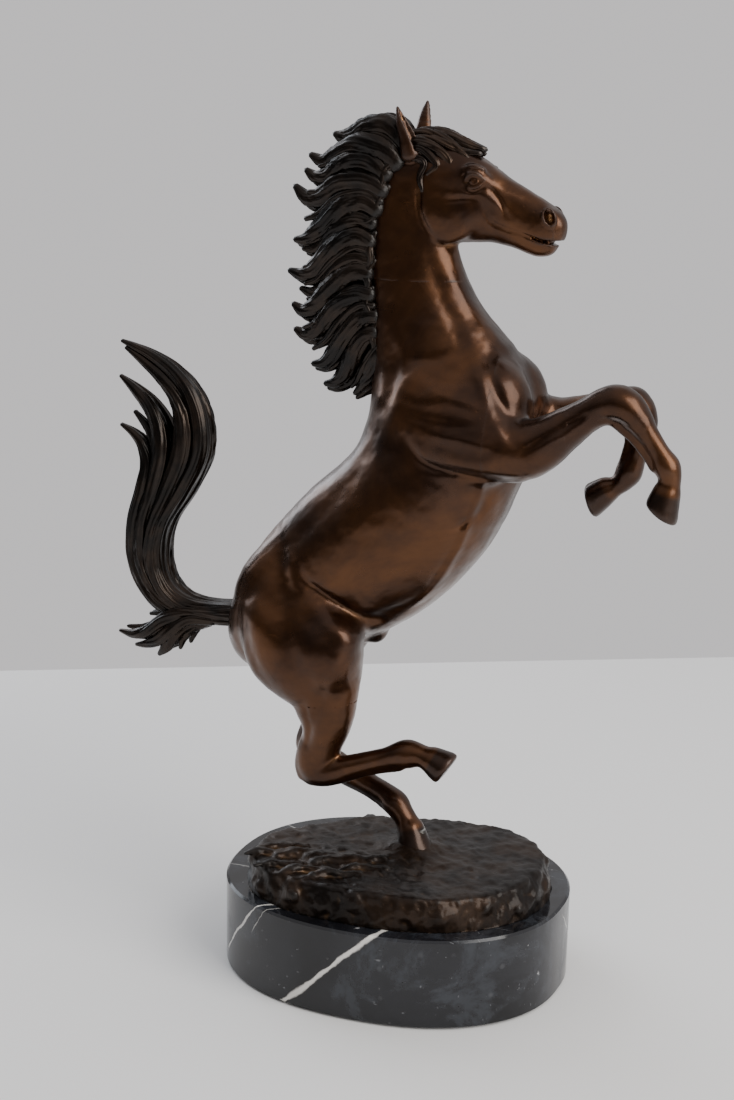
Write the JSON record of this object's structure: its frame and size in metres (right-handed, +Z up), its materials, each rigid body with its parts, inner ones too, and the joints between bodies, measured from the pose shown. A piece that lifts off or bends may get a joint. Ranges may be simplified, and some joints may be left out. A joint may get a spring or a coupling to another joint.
{
  "type": "bronze horse statue",
  "caption": "Rearing bronze horse standing on one hind hoof on a rough bronze ground, bolted to an oval black marble plinth with felt under it.",
  "frame": {"origin": "centre of the plinth's underside, at the bottom face of its felt", "axes": "+X the way the horse faces, +Y its left side, +Z up"},
  "size_m": [0.2686, 0.132, 0.3931],
  "materials": {
    "bronze": "brown patina, waxed",
    "dark_bronze": "near-black brown patina, rubbed on the ridges",
    "rough_bronze": "rough cast, golden brown on its edges",
    "brass_rod": "machined",
    "marble": "polished black marble with white veins",
    "felt": "pressed felt",
    "steel": "zinc plated"
  },
  "bodies": {
    "root": {"core_plugs": "brass_rod", "foreleg_dowels": "brass_rod", "forelock_casting": "dark_bronze", "ground_casting": "rough_bronze", "head_casting": "bronze", "head_sleeve": "brass_rod", "hindleg_dowels": "brass_rod", "hoof_nut": "steel", "hoof_stud": "steel", "hoof_washer": "steel", "left_foreleg_casting": "bronze", "left_hindleg_casting": "bronze", "mane_casting": "dark_bronze", "mane_dowels": "brass_rod", "marble_plinth": "marble", "mounting_nuts": "steel", "mounting_studs": "steel", "mounting_washers": "steel", "neck_casting": "bronze", "neck_sleeve": "brass_rod", "plinth_felt": "felt", "right_foreleg_casting": "bronze", "right_hindleg_casting": "bronze", "tail_casting": "dark_bronze", "tail_dowel": "brass_rod", "torso_casting": "bronze"}
  },
  "joints": []
}
